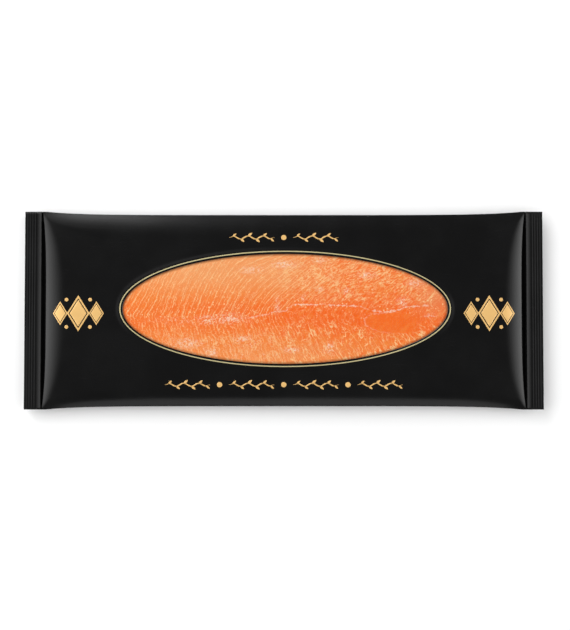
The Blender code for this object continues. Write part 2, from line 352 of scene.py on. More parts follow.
class SalmonFinish:
    """The look of smoked salmon, painted in layers from the flesh up to the white fat."""

    # Leaf-shaped muscle low on the right: its middle, half length and half height, and its tilt
    LEAF = ((84.0, -10.0), (23.0, 7.6), 0.06)
    # Colour of the painted shade on the fish under the window's edge
    RIM_SHADE = (0.16, 0.045, 0.012)

    def __init__(self, colours, pitch):
        self.material, self.nodes, self.output = new_material("smoked_salmon")
        nodes, self.colours, self.pitch = self.nodes, colours, pitch / MM
        self.place, x, y, z = object_place(nodes)
        self.x, self.y = x, y
        for name in FISH_FIELDS:
            setattr(self, name, nodes.add("ShaderNodeAttribute", {"attribute_name": name}, None, "Fac"))
        self.along = self.flake * self.pitch
        self.above = nodes.step(self.across, -1.0, 3.0)
        self.rightward = nodes.step(x, -40.0, 50.0)
        self.lower = nodes.step(self.across, -9.0, -18.0)
        self.patchy = nodes.step(nodes.noise(self.place, 0.13, 3.0, 0.6, 0.3), 0.36, 0.58)
        self.blotches = nodes.noise(self.on_flakes(0.20, 0.15, z), 1.0, 4.0, 0.65) - 0.5
        self.mottle = nodes.noise(slanted(nodes, x, y, 40, (0.20, 0.34), 4.0), 1.0, 3.0, 0.6) - 0.5
        self.fibres = nodes.noise(self.on_flakes(0.9, 0.28, z), 0.8, 4.0, 0.65) - 0.5
        self.flecks = nodes.noise(nodes.vector(x * 0.55, y * 0.70, 0.0), 1.0, 4.0, 0.75, 0.8)
        self.beads = nodes.noise(self.on_flakes(0.5, 0.85, 5.0), 1.0, 2.0, 0.6)
        self.grain = nodes.noise(self.place, 0.9, 3.0, 0.65)
        (middle_x, middle_y), (half_x, half_y), tilt = self.LEAF
        leaf_x = (x - middle_x) / half_x
        leaf_y = (y - middle_y + (x - middle_x) * tilt) / half_y
        self.leaf_reach = leaf_x * leaf_x + leaf_y * leaf_y + (self.blotches + self.mottle) * 0.6
        self.leaf = nodes.step(self.leaf_reach, 1.4, 0.7) * nodes.step(x, 112.0, 90.0)
        self.rough = 1.0 - self.leaf

    def on_flakes(self, along, across, seed):
        """Coordinates that follow the flakes, stretched along the fish and across it."""
        return self.nodes.vector(self.along * along, self.across * across, seed)

    def paint(self, cover, colour):
        """Lay a colour over the flesh, where cover is above none."""
        self.flesh = self.nodes.mix(cover, self.flesh, colour)

    def lay_flesh(self):
        """Pale at the upper left and along the lower edge, deep along the mid line, blotched."""
        nodes, x, y = self.nodes, self.x, self.y
        clouds = nodes.noise(self.place, 0.06, 2.0, 0.5) - 0.5
        heart = nodes.step(abs(y + 5.0), 21.0, 3.0)
        depth = heart * (0.48 + 0.14 * nodes.step(x, -95.0, -35.0) + 0.06 * self.rightward)
        depth = depth + self.rightward * (0.24 + 0.24 * self.above) + 0.02
        depth = depth + clouds * 0.6 + self.blotches * 1.3 + self.fibres * 0.6
        depth = depth + self.mottle * (0.6 + 3.2 * self.rightward)
        self.flesh = nodes.mix(nodes.clamp(depth), self.colours.flesh, self.colours.deep)
        top_pale = self.above * nodes.step(y, 2.0, 32.0) * nodes.step(x, 70.0, -50.0)
        low_pale = nodes.step(y, -20.0, -34.0) * nodes.step(x, 80.0, 30.0)
        paleness = top_pale * 0.9 + low_pale * 0.32 + clouds * 0.5 + self.blotches * 0.6
        self.paint(nodes.clamp(paleness + self.mottle * self.rightward * 0.5), self.colours.pale)
        end_blush = nodes.step(x, 88.0, 114.0) * nodes.step(self.across, -16.0, 6.0)
        self.paint(end_blush * 0.55, self.colours.blush)
        self.paint(self.leaf * 0.45, nodes.mix(0.5, self.colours.deep, self.colours.flesh))

    def lay_fat_lines(self):
        """Fat lines between the flakes, beaded and broken, with a finer second set of hairlines."""
        nodes, x, across = self.nodes, self.x, self.across
        wander = nodes.noise(self.on_flakes(0.25, 0.42, 3.0), 1.0, 4.0, 0.7) - 0.5
        phase = nodes.math("FRACT", self.flake + wander * 0.55 + 100.0)
        width = 0.28 + 1.0 * nodes.step(self.beads, 0.50, 0.78)
        line = nodes.step(abs(phase - 0.5) * self.pitch, width, 0.06)
        breaks = nodes.noise(self.on_flakes(0.20, 0.17, 7.0), 1.0, 3.0, 0.7)
        broken = nodes.step(breaks, 0.36, 0.56)
        left_zone = nodes.step(across, -0.5, 2.5) * nodes.step(x, 50.0, 0.0)
        low_zone = nodes.step(across, -2.0, -8.0) * nodes.step(x, 60.0, -30.0)
        cover = line * (broken * 0.7 + 0.3) * (left_zone * 1.05 + low_zone * 0.5) * (0.5 + self.beads)
        self.fat_line = nodes.clamp(cover * self.rough)
        self.paint(self.fat_line, self.colours.fat)
        hair_phase = nodes.math("FRACT", self.flake * 1.9 + wander * 1.6 + 50.3)
        hair = nodes.step(abs(hair_phase - 0.5), 0.15, 0.02) * nodes.step(breaks, 0.42, 0.58)
        self.paint(hair * self.rough * (0.70 - 0.45 * self.rightward), self.colours.fat)

    def lay_marbling(self):
        """Hairlines slanting up on the right and down at the lower edge, and short dashes on the right."""
        nodes, x, y = self.nodes, self.x, self.y
        upper_right = nodes.step(x, -22.0, 20.0) * nodes.step(self.across, 0.0, 5.0)
        high_right = upper_right * nodes.step(y, 10.0, 22.0) * nodes.step(x, 110.0, 85.0)
        for angle, stretch, seed, width, zone in (
                (40, (0.08, 0.30), 1.0, 0.030, upper_right * 0.80),
                (24, (0.16, 0.44), 2.0, 0.034, upper_right * 0.35 + high_right * 0.55),
                (-56, (0.07, 0.22), 3.0, 0.027, self.lower * nodes.step(x, -20.0, 4.0) * 1.1),
                (-75, (0.10, 0.30), 5.0, 0.030, self.lower * nodes.step(x, 10.0, -20.0) * 0.70),
                (70, (0.16, 0.16), 6.0, 0.016, (1.0 - self.above) * 0.60 + self.above * 0.35)):
            vein = veins(nodes, slanted(nodes, x, y, angle, stretch, seed), width)
            self.paint(vein * zone * (0.35 + 0.65 * self.patchy) * self.rough, self.colours.fat)
        dashes = nodes.noise(slanted(nodes, x, y, 32, (0.26, 0.85), 8.0), 1.0, 3.0, 0.65, 0.4)
        dash = nodes.step(dashes, 0.56, 0.66) * (high_right * 0.80 + upper_right * 0.22 + 0.05) * self.rough
        self.paint(nodes.clamp(dash * (0.4 + 0.6 * self.patchy)), self.colours.fat)

    def lay_beads(self):
        """Small beads of fat, thick beside the mid line."""
        nodes, across = self.nodes, self.across
        dots = nodes.add("ShaderNodeTexVoronoi", {"voronoi_dimensions": "2D"},
                         {"Vector": self.place, "Scale": 0.36}, "Distance")
        chance = nodes.split(dots.other("Color"))[0]
        bead = nodes.step(dots, 0.26, 0.10) * nodes.step(chance, 0.66, 0.80)
        zone = nodes.hump(across, 7.0, 13.0) * nodes.hump(self.x, -52.0, 26.0)
        zone = 0.25 + 0.25 * self.rightward * self.above + 0.5 * nodes.hump(across, 1.0, 7.0) + zone
        self.paint(nodes.clamp(bead * zone * self.rough), self.colours.bead)

    def lay_white_fat(self):
        """Dabs, loose flecks, and the mid line in broken dashes where it shows."""
        nodes, x, across, flecks = self.nodes, self.x, self.across, self.flecks
        dab = nodes.clamp(self.dabs * 1.3) * nodes.step(flecks, 0.46, 0.62)
        feather = nodes.hump(across, -1.5, 4.5) * nodes.step(x, -20.0, -40.0) * nodes.step(x, -112.0, -80.0)
        feather = feather * nodes.step(flecks, 0.52, 0.66) * 0.75
        low = self.lower * nodes.step(x, 10.0, -15.0) * nodes.step(flecks, 0.55, 0.68) * self.patchy * 0.7
        loose = nodes.step(flecks, 0.66, 0.76) * self.rough * 0.5
        jitter = nodes.noise(nodes.vector(x * 0.5, self.y * 0.2, 9.0), 1.0, 3.0, 0.7) - 0.5
        dashed = nodes.noise(nodes.vector(x * 0.24, 0.0, 2.0), 1.0, 3.0, 0.8)
        thick = nodes.step(dashed, 0.42, 0.66)
        seam = nodes.step(abs(across + jitter * 2.6), 0.25 + 1.4 * thick, 0.05 + 0.4 * thick)
        seam = seam * nodes.step(dashed, 0.38, 0.50) * self.white
        seam = seam * (0.40 + 0.60 * nodes.step(flecks, 0.38, 0.54))
        edge = nodes.hump(self.leaf_reach, 1.1, 0.15) * nodes.step(x, 92.0, 64.0)
        edge = edge * nodes.step(self.beads, 0.36, 0.56)
        self.whites = nodes.clamp(dab * 1.1 + feather + low + loose + seam * 0.9 + edge * 0.35)
        self.paint(self.whites, self.colours.white_fat)

    def lay_grain_and_painted_shade(self):
        """Fine grain, and a dark line of painted shade on the fish under the window's edge."""
        nodes = self.nodes
        self.paint(nodes.step(self.grain, 0.52, 0.80) * 0.22, self.colours.fat)
        self.paint(nodes.step(self.grain, 0.45, 0.20) * 0.30, self.colours.deep)
        # Painted shade: the fish's colour darkens within a few millimetres of the window's edge
        self.paint(nodes.step(self.rim, 2.2, 0.0) * 0.55, self.RIM_SHADE)

    def build(self):
        self.lay_flesh()
        self.lay_fat_lines()
        self.lay_marbling()
        self.lay_beads()
        self.lay_white_fat()
        self.lay_grain_and_painted_shade()
        relief = self.fibres * 0.5 + self.grain * 0.3 + self.fat_line * 0.6 + self.whites * 0.5
        bump = self.nodes.bump(relief, 0.3, 0.3 * MM)
        finish_surface(self.nodes, self.output, {
            "Base Color": self.flesh, "Roughness": 0.42 + 0.16 * self.grain, "Normal": bump,
            "Specular IOR Level": 0.10})
        return self.material


def floor_material(colours):
    """Plain pale table top with the faintest mottling."""
    material, nodes, output = new_material("floor")
    place, x, y, z = object_place(nodes)
    mottle = nodes.noise(place, 0.01, 3.0, 0.5)
    tone = nodes.mix(mottle, shade(colours.floor, 0.99), shade(colours.floor, 1.01))
    finish_surface(nodes, output, {"Base Color": tone, "Roughness": 0.9, "Specular IOR Level": 0.2})
    return material


def mesh_object(name, points, faces, material):
    """A smooth-shaded object at the origin, with its place in its mesh."""
    mesh = bpy.data.meshes.new(name)
    mesh.from_pydata([tuple(map(float, point)) for point in points], [], faces)
    mesh.materials.append(material)
    mesh.shade_smooth()
    obj = bpy.data.objects.new(name, mesh)
    bpy.context.collection.objects.link(obj)
    return obj


def turn_outwards(obj):
    """Point every face of a closed mesh outwards."""
    shape = bmesh.new()
    shape.from_mesh(obj.data)
    bmesh.ops.recalc_face_normals(shape, faces=shape.faces)
    shape.to_mesh(obj.data)
    shape.free()


def apply_modifiers(obj):
    """Turn an object's modifiers into a plain mesh."""
    bpy.context.view_layer.update()
    graph = bpy.context.evaluated_depsgraph_get()
    old = obj.data
    mesh = bpy.data.meshes.new_from_object(obj.evaluated_get(graph), preserve_all_data_layers=True,
                                           depsgraph=graph)
    obj.modifiers.clear()
    obj.data = mesh
    mesh.name = obj.name
    bpy.data.meshes.remove(old)


def add_piece(obj, node=None):
    """Attach a piece to the pack's body, and hide the part it stands for, if any."""
    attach(obj, BODY)
    if node:
        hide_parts(node)


def waves(x, y, seed, longest, shortest, count=9):
    """A smooth random field of about unit height, from a fixed sum of plane waves."""
    draw = np.random.default_rng(seed)
    total = np.zeros(np.broadcast(x, y).shape)
    for i in range(count):
        length = longest * (shortest / longest) ** (i / (count - 1))
        angle = draw.uniform(0, 2 * math.pi)
        shift = draw.uniform(0, 2 * math.pi)
        total = total + np.sin(2 * math.pi * (x * math.cos(angle) + y * math.sin(angle)) / length + shift)
    return total / math.sqrt(count / 2)


def smooth(value, low, high):
    """A smooth step from 0 at low to 1 at high, for arrays."""
    share = np.clip((value - low) / (high - low), 0.0, 1.0)
    return share * share * (3 - 2 * share)


class FilmShape:
    """The rules that give the film tube its outline and the heights of its two faces."""

    # How late and how far a crease closes towards its corners
    CREASE_POWER = 4.0
    CREASE_CLOSING = 0.75
    # How round the slopes are at the ends and at the long edges
    END_POWER = 2.2
    SIDE_POWER = 2.5
    # How far in from a long edge and from an end the corners reach two thirds of the full height
    CORNER_REACH = (25 * MM, 30 * MM)
    # The right end's slope beside the left end's
    RIGHT_END = 0.9
    # The window's raised rim: where it starts and stops to fall, and where the film's slack is full again
    RIM = (2.4 * MM, 6.0 * MM)
    CALM = 12 * MM
    # Slack of the upper face and of the underside: seed, longest wave, shortest wave
    TOP_WAVES = (11, 90 * MM, 26 * MM)
    UNDER_WAVES = (23, 80 * MM, 24 * MM)
    UNDER_SLACK = 0.06 * MM
    # The channel for the folded back seam: its edges across the pack, the run of its walls, its depth
    SEAM_EDGES = (-3.0 * MM, 9.0 * MM)
    SEAM_WALL = 0.4 * MM
    SEAM_DEPTH = 0.35 * MM
    # Soft folds: run in which they rise, and half width as a share of the slope
    FOLD_START = 12 * MM
    FOLD_SPREAD = 0.22
    # Each fold's end, edge, place in the slope, strength and reach
    FOLDS = ((1, 1, 0.95, 1.0, 190 * MM), (-1, 1, 0.95, 0.35, 90 * MM), (-1, -1, 1.0, 0.3, 80 * MM),
             (1, -1, 1.0, 0.25, 80 * MM))

    def __init__(self, sizes):
        self.sizes = sizes
        self.half_length = sizes.length / 2
        self.seal_length = sizes.crimp + sizes.strip + sizes.crease
        self.window_half = (WINDOW_HIGH[:2] - WINDOW_LOW[:2]) / 2 + PANE_GAP
        self.window_centre = (WINDOW_HIGH[:2] + WINDOW_LOW[:2]) / 2

    def half_width(self, x):
        inset = np.clip(self.half_length - self.seal_length - np.abs(x), 0.0, None)
        pull = (self.sizes.seal_width - self.sizes.body_width) / 2
        return self.sizes.seal_width / 2 - pull * (1 - np.exp(-inset / self.sizes.pull_in))

    def crease_run(self, side):
        """Width of the crease beside a seal, which closes towards the corners."""
        return self.sizes.crease * (1 - self.CREASE_CLOSING * side ** self.CREASE_POWER)

    def body_start(self, side):
        """Where the filled part begins, at a share of the half width."""
        return self.half_length - self.sizes.crimp - self.sizes.strip - self.crease_run(side)

    def corner_rise(self, margin, inset):
        """Share of the full height that a corner reaches this far in from its long edge and its end."""
        return 1 - np.exp(-margin / self.CORNER_REACH[0] - inset / self.CORNER_REACH[1])

    def end_flank(self, x, margin):
        """Run of the slope at an end, closing to the corners and a little shorter on the right."""
        run = self.sizes.corner_flank + self.sizes.end_flank * self.corner_rise(margin, 0.0)
        return run * np.where(x > 0, self.RIGHT_END, 1.0)

    def side_flank(self, x):
        """Run of the slope on a long edge, narrow at the corners."""
        inset = np.clip(self.body_start(1.0) - np.abs(x), 0.0, None)
        wider = self.sizes.side_flank - self.sizes.side_start
        return self.sizes.side_start + wider * self.corner_rise(0.0, inset)

    def fullness(self, x, y):
        """How far the tube has opened: 0 where it is flat, 1 where it is full."""
        half = self.half_width(x)
        margin = np.clip(half - np.abs(y), 0.0, None)
        inset = np.clip(self.body_start(1 - margin / half) - np.abs(x), 0.0, None)
        run = np.clip(inset / self.end_flank(x, margin), 0.0, 1.0)
        edge = np.clip(margin / self.side_flank(x), 0.0, 1.0)
        slopes = (1 - (1 - run) ** self.END_POWER) * (1 - (1 - edge) ** self.SIDE_POWER)
        return self.corner_rise(margin, inset) * slopes

    def window_reach(self, x, y):
        """Distance outwards from the window's edge."""
        u = (x - self.window_centre[0]) / self.window_half[0]
        v = (y - self.window_centre[1]) / self.window_half[1]
        e = np.sqrt(u * u + v * v) + 1e-9
        slope = np.sqrt((u / self.window_half[0]) ** 2 + (v / self.window_half[1]) ** 2) / e
        return (e - 1) / (slope + 1e-9)

    def folds(self, x, y):
        """Soft folds that run in from the corners beside the long edges."""
        total = 0.0
        for along, across, place, strength, reach in self.FOLDS:
            inset = self.half_width(x) - across * y
            share = inset / self.side_flank(x)
            run = np.clip(self.body_start(1.0) + along * x, 0.0, None)
            fade = smooth(run, 0.0, self.FOLD_START) * (1 - smooth(run, 0.5 * reach, reach))
            total = total + strength * fade * np.exp(-((share - place) / self.FOLD_SPREAD) ** 2)
        return self.sizes.fold_height * total

    def top(self, x, y):
        """Height of the film's upper face."""
        s = self.sizes
        level = s.seal_level + s.fold_edge
        dome = s.height - s.camber_across * (2 * y / s.body_width) ** 2
        dome = dome - s.camber_along * (x / self.body_start(0.0)) ** 4
        full = self.fullness(x, y)
        out = self.window_reach(x, y)
        rim = s.rim_rise * (1 - smooth(out, *self.RIM))
        slack = s.waviness * waves(x, y, *self.TOP_WAVES) * smooth(out, 0, self.CALM)
        return level + (dome - level) * full + (rim + slack + self.folds(x, y)) * full

    def bottom(self, x, y):
        """Height of the film's underside, with the channel for the folded back seam."""
        s = self.sizes
        level = s.seal_level - s.fold_edge
        low, high = self.SEAM_EDGES
        channel = smooth(y, low - self.SEAM_WALL, low) * (1 - smooth(y, high, high + self.SEAM_WALL))
        slack = self.UNDER_SLACK * (1 + waves(x, y, *self.UNDER_WAVES) * 0.5)
        return level - (level - self.SEAM_DEPTH * channel - np.clip(slack, 0, None)) * self.fullness(x, y)


def edge_shares(flank_steps, middle_steps, flank_share, extra=()):
    """Shares from 1 to -1, close together near both ends."""
    angles = np.linspace(0, math.pi / 2, flank_steps + 1)
    edge = 1 - flank_share * (1 - np.cos(angles))
    middle = np.linspace(edge[-1], -edge[-1], middle_steps + 1)[1:-1]
    middle = np.sort(np.concatenate([middle, np.array(extra)]))[::-1] if len(extra) else middle
    return np.concatenate([edge, middle, -edge[::-1]])


def border(rows, columns):
    """The points round a grid, from its first row on."""
    loop = list(range(columns)) + [row * columns + columns - 1 for row in range(1, rows)]
    loop += [(rows - 1) * columns + i for i in range(columns - 2, -1, -1)]
    return loop + [row * columns for row in range(rows - 2, 0, -1)]


def grid_faces(rows, columns, start=0):
    """Faces of a grid of points, seen from its upper side if rows run down and columns right."""
    corners = [start + row * columns + i for row in range(rows - 1) for i in range(columns - 1)]
    return [(k + columns, k + columns + 1, k + 1, k) for k in corners]


def band_faces(inner, outer):
    """Faces between two closed loops of points."""
    return [(inner[i - 1], outer[i - 1], outer[i], inner[i]) for i in (*range(1, len(inner)), 0)]


def solidify(obj, thickness, offset):
    """Give a sheet a thickness and close its edges. The offset is -1 inwards and 1 outwards."""
    solid = obj.modifiers.new("thickness", "SOLIDIFY")
    solid.thickness = thickness
    solid.offset = offset
    apply_modifiers(obj)


def body_place(shape, along, across):
    """Plan position of a share along and a share across the filled part."""
    x = along * shape.body_start(np.abs(across))
    return x, across * shape.half_width(x)


# Share of the half length or half width in which the skin's rows stand close together
FLANK_SHARE = 0.078


def film_skin(shape):
    """The filled part's skin: rays from the window's edge out to the fold, then the underside."""
    half = shape.half_width(0.0)
    offsets = (-0.45 * MM, -0.2 * MM, 0.05 * MM, 0.3 * MM)
    seam = [(edge + offset) / half for edge in shape.SEAM_EDGES for offset in offsets]
    along = edge_shares(12, 132, FLANK_SHARE)
    across = edge_shares(10, 44, FLANK_SHARE, seam)
    rows, columns = len(across), len(along)

    # The loop round the filled part, from the corner at +X +Y
    loop = np.array(border(rows, columns))
    loop_along, loop_across = along[loop % columns], across[loop // columns]
    loop_x, loop_y = body_place(shape, loop_along, loop_across)
    count = len(loop)

    # Rings close together at the window's rim and at the fold, wider apart between them
    inner = np.linspace(0, 0.24, 15)
    middle = np.linspace(0.24, 0.70, 11)[1:-1]
    outer = 1 - 0.30 * (1 - np.sin(np.linspace(0, math.pi / 2, 27)))
    shares = np.concatenate([inner, middle, outer])
    turn = np.arctan2(loop_across, loop_along)
    edge_x = shape.window_centre[0] + shape.window_half[0] * np.cos(turn)
    edge_y = shape.window_centre[1] + shape.window_half[1] * np.sin(turn)
    x = edge_x + (loop_x - edge_x) * shares[:, None]
    y = edge_y + (loop_y - edge_y) * shares[:, None]
    top = np.stack([x, y, shape.top(x, y)], axis=-1).reshape(-1, 3)

    grid_x, grid_y = body_place(shape, along[None, :], across[:, None])
    under = np.stack([grid_x, grid_y, shape.bottom(grid_x, grid_y)], axis=-1).reshape(-1, 3)
    points = np.concatenate([top, under])

    rings = [range(row * count, (row + 1) * count) for row in range(len(shares))]
    rings.append([len(top) + int(k) for k in loop])
    faces = [face for inner, outer in zip(rings, rings[1:]) for face in band_faces(inner, outer)]
    return points, faces + grid_faces(rows, columns, len(top))


# Points closer than this are one: in a mesh, and in a mark of unit size
WELD = 0.005 * MM
MARK_WELD = 0.004


def geometry_tree(name, labels, on_film=False):
    """A geometry tree with a number for each label and a material, as (builder, inputs by name)."""
    inputs = {label: "Float" for label in labels}
    if on_film:
        inputs["Film"] = "Object"
    inputs["Material"] = "Material"
    tree = bpy.data.node_groups.new(name, "GeometryNodeTree")
    tree.interface.new_socket("Geometry", in_out="INPUT", socket_type="NodeSocketGeometry")
    for label, kind in inputs.items():
        tree.interface.new_socket(label, in_out="INPUT", socket_type="NodeSocket" + kind)
    tree.interface.new_socket("Geometry", in_out="OUTPUT", socket_type="NodeSocketGeometry")
    nodes = Nodes(tree)
    source = tree.nodes.new("NodeGroupInput")
    return nodes, {socket.name: Value(nodes, socket) for socket in source.outputs if socket.name}


def finish_tree(nodes, geometry, material):
    """End a tree in Realize Instances and Set Material."""
    real = nodes.add("GeometryNodeRealizeInstances", None, {"Geometry": geometry})
    real = nodes.add("GeometryNodeSetShadeSmooth", None, {"Geometry": real})
    real = nodes.add("GeometryNodeSetMaterial", None, {"Geometry": real, "Material": material})
    sink = nodes.tree.nodes.new("NodeGroupOutput")
    nodes.tree.links.new(real.socket, sink.inputs[0])


def grow(obj, tree, values):
    """Run a geometry tree on an object and keep the result as a plain mesh."""
    modifier = obj.modifiers.new(tree.name, "NODES")
    modifier.node_group = tree
    for item in tree.interface.items_tree:
        if item.name in values:
            modifier[item.identifier] = values[item.name]
    apply_modifiers(obj)
    return obj


def empty_object(name, material, points=()):
    """An object with only points, for a geometry tree to grow from."""
    return mesh_object(name, points, [], material)


def plan_grid(nodes, along, around):
    """A flat grid and the shares of its points, each from 0 to 1."""
    grid = nodes.add("GeometryNodeMeshGrid", None, {"Size X": 1.0, "Size Y": 1.0, "Vertices X": along,
                                                     "Vertices Y": around})
    x, y, z = nodes.split(nodes.add("GeometryNodeInputPosition"))
    return grid, x + 0.5, y + 0.5


def move_points(nodes, geometry, x, y, z):
    place = nodes.vector(x, y, z)
    return nodes.add("GeometryNodeSetPosition", None, {"Geometry": geometry, "Position": place})


def merge_points(nodes, geometry, distance):
    return nodes.add("GeometryNodeMergeByDistance", None, {"Geometry": geometry, "Distance": distance})


def thicken(nodes, sheet, depth):
    """A closed slab from a sheet, depth thick below it."""
    lower = nodes.add("GeometryNodeExtrudeMesh", None,
                      {"Mesh": nodes.add("GeometryNodeFlipFaces", None, {"Mesh": sheet}),
                       "Offset": nodes.vector(0.0, 0.0, -1.0), "Offset Scale": depth, "Individual": False})
    return merge_points(nodes, nodes.join(lower, sheet), WELD)


# How late the strip swells and the crease climbs, how soon ribs and strip end, the crease's inner wall and
# how much lower than its depth it starts
SWELL_POWER = 1.6
RUN_OUT = 0.6 * MM
CREASE_WALL = 0.4 * MM
CREASE_SINK = 0.3 * MM


def seal_tree():
    """Both end seals: ribbed film, a plain swelling strip, and the crease where the tube opens."""
    labels = ("Half length", "Half width", "Level", "Thickness", "Crimp", "Rib pitch",
              "Rib height", "Strip", "Strip rise", "Crease", "Crease depth", "Tuck", "Wave")
    nodes, size = geometry_tree("end_seals", labels)
    grid, share, cross = plan_grid(nodes, 150, 90)
    side = cross * 2.0 - 1.0
    crease_run = size["Crease"] * (1.0 - (abs(side) ** FilmShape.CREASE_POWER) * FilmShape.CREASE_CLOSING)
    reach = size["Crimp"] + size["Strip"] + crease_run + size["Tuck"]
    inset = share * reach
    width = size["Half width"]
    ribs = nodes.math("SINE", inset * (2 * math.pi) / size["Rib pitch"]) * size["Rib height"] * 0.5
    ribs = ribs * nodes.step(inset, size["Crimp"], size["Crimp"] - RUN_OUT)
    on_strip = nodes.clamp((inset - size["Crimp"]) / size["Strip"])
    edge = size["Crimp"] + size["Strip"]
    swell = on_strip ** SWELL_POWER * nodes.step(inset, edge + RUN_OUT, edge) * size["Strip rise"]
    climb = nodes.clamp((inset - edge) / crease_run) ** SWELL_POWER
    depth = size["Crease depth"] * (1.0 - 0.6 * abs(side) ** 12.0)
    dip = nodes.step(inset, edge, edge + CREASE_WALL) * (depth * (1.0 - climb) + CREASE_SINK)
    drift = nodes.noise(nodes.vector(side * 3.0, inset * 60.0, 0.0), 1.0, 1.0) - 0.5
    height = size["Level"] + ribs + swell - dip + drift * size["Wave"] * (1.0 - share)
    sheet = move_points(nodes, grid, size["Half length"] - inset, side * width, height)
    sheet = nodes.add("GeometryNodeFlipFaces", None, {"Mesh": sheet})
    seal = thicken(nodes, sheet, size["Thickness"])
    other = nodes.add("GeometryNodeTransform", None, {"Geometry": seal, "Rotation": (0.0, 0.0, math.pi)})
    finish_tree(nodes, nodes.join(seal, other), size["Material"])
    return nodes.tree


def seam_tree():
    """The folded back seam: a long flat strip with fine ribs, in the channel of the underside."""
    labels = ("Half length", "Low edge", "High edge", "Base", "Thickness", "Rib pitch", "Rib height")
    nodes, size = geometry_tree("back_seam", labels)
    grid, share, cross = plan_grid(nodes, 420, 40)
    x = (share * 2.0 - 1.0) * size["Half length"]
    y = size["Low edge"] + cross * (size["High edge"] - size["Low edge"])
    ribs = nodes.math("SINE", y * (2 * math.pi) / size["Rib pitch"]) * size["Rib height"]
    rise = nodes.step(abs(share - 0.5), 0.47, 0.5) * size["Thickness"] * 2.0
    sheet = move_points(nodes, grid, x, y, size["Base"] + size["Thickness"] + ribs + rise)
    finish_tree(nodes, thicken(nodes, sheet, size["Thickness"]), size["Material"])
    return nodes.tree


# Print is dropped onto the film from this height
DROP_HEIGHT = 50 * MM


def lay_on_film(nodes, geometry, film, lift):
    """Drop flat print onto the film and leave it just proud of it."""
    x, y, z = nodes.split(nodes.add("GeometryNodeInputPosition"))
    target = nodes.add("GeometryNodeObjectInfo", {"transform_space": "ORIGINAL"}, {"Object": film},
                       "Geometry")
    rays = {"Target Geometry": target, "Source Position": nodes.vector(x, y, DROP_HEIGHT),
            "Ray Direction": (0.0, 0.0, -1.0), "Ray Length": 2 * DROP_HEIGHT}
    hit = nodes.add("GeometryNodeRaycast", None, rays, "Hit Position")
    return move_points(nodes, geometry, x, y, nodes.split(hit)[2] + lift)


def ring_tree():
    """A printed line of even width round an oval."""
    labels = ("Centre X", "Centre Y", "Half length", "Half width", "Line width", "Lift")
    nodes, size = geometry_tree("oval_line", labels, on_film=True)
    grid, share, cross = plan_grid(nodes, 721, 5)
    turn = share * (2 * math.pi)
    cos, sin = nodes.math("COSINE", turn), nodes.math("SINE", turn)
    normal_x, normal_y = cos / size["Half length"], sin / size["Half width"]
    norm = nodes.math("SQRT", normal_x * normal_x + normal_y * normal_y)
    offset = (cross - 0.5) * size["Line width"] / norm
    x = size["Centre X"] + size["Half length"] * cos + normal_x * offset
    y = size["Centre Y"] + size["Half width"] * sin + normal_y * offset
    sheet = move_points(nodes, grid, x, y, 0.0)
    laid = lay_on_film(nodes, merge_points(nodes, sheet, WELD), size["Film"], size["Lift"])
    finish_tree(nodes, laid, size["Material"])
    return nodes.tree


def mark_tree():
    """Printed marks, one on each point, sized by the points' size attribute: discs, lozenges or frames."""
    nodes, size = geometry_tree("print_marks", ("Power", "Hole", "Lift"), on_film=True)
    grid, share, cross = plan_grid(nodes, 65, 9)
    angle = share * (2 * math.pi)
    radius = size["Hole"] + cross * (1.0 - size["Hole"])
    axes = []
    for wave in ("COSINE", "SINE"):
        value = nodes.math(wave, angle)
        axes.append(nodes.math("SIGN", value) * (abs(value) ** (2.0 / size["Power"])) * radius)
    mark = merge_points(nodes, move_points(nodes, grid, axes[0], axes[1], 0.0), MARK_WELD)
    scale, turn = (nodes.add("GeometryNodeInputNamedAttribute", {"data_type": "FLOAT_VECTOR"}, {"Name": name},
                             "Attribute") for name in ("size", "turn"))
    marks = nodes.add("GeometryNodeInstanceOnPoints", None, {"Points": size["Geometry"], "Instance": mark,
                                                             "Rotation": turn, "Scale": scale})
    marks = nodes.add("GeometryNodeRealizeInstances", None, {"Geometry": marks})
    laid = lay_on_film(nodes, marks, size["Film"], size["Lift"])
    finish_tree(nodes, laid, size["Material"])
    return nodes.tree


def stem_tree():
    """A vine's stem: a running wave whose stroke swells and tapers at both ends."""
    labels = ("Centre X", "Centre Y", "Length", "Waves", "Wave height", "Pen", "Lift")
    nodes, size = geometry_tree("vine_stem", labels, on_film=True)
    grid, share, cross = plan_grid(nodes, 400, 5)
    turn = share * size["Waves"] * (2 * math.pi)
    taper = nodes.step(abs(share - 0.5), 0.5, 0.5 - 0.42 / size["Waves"])
    reach = size["Wave height"] * 0.5 * (taper * 0.8 + 0.2)
    rise = nodes.math("COSINE", turn) * size["Waves"] * (2 * math.pi) * reach
    run = size["Length"]
    swell = (taper * 0.75 + 0.15) * (1.0 + 0.25 * nodes.math("SINE", turn * 2.0 + 1.0))
    stroke = (cross - 0.5) * size["Pen"] * swell / nodes.math("SQRT", run * run + rise * rise)
    x = size["Centre X"] + (share - 0.5) * run + stroke * rise
    y = size["Centre Y"] + nodes.math("SINE", turn) * reach - stroke * run
    laid = lay_on_film(nodes, move_points(nodes, grid, x, y, 0.0), size["Film"], size["Lift"])
    finish_tree(nodes, laid, size["Material"])
    return nodes.tree


# Rows of vines with dots between them: height across the pack, number of vines
VINE_ROWS = ((54.5 * MM, 2), (-56.0 * MM, 4))
# Middle of the lozenges at each end: along the pack and across it
LOZENGE_PLACE = (154.0 * MM, -2.5 * MM)


def row_places(count, pitch):
    """Where a row's vines stand along the pack, and the dots between them."""
    first = -(count - 1) * pitch / 2
    return [first + i * pitch for i in range(count)], [first + (i + 0.5) * pitch for i in range(count - 1)]


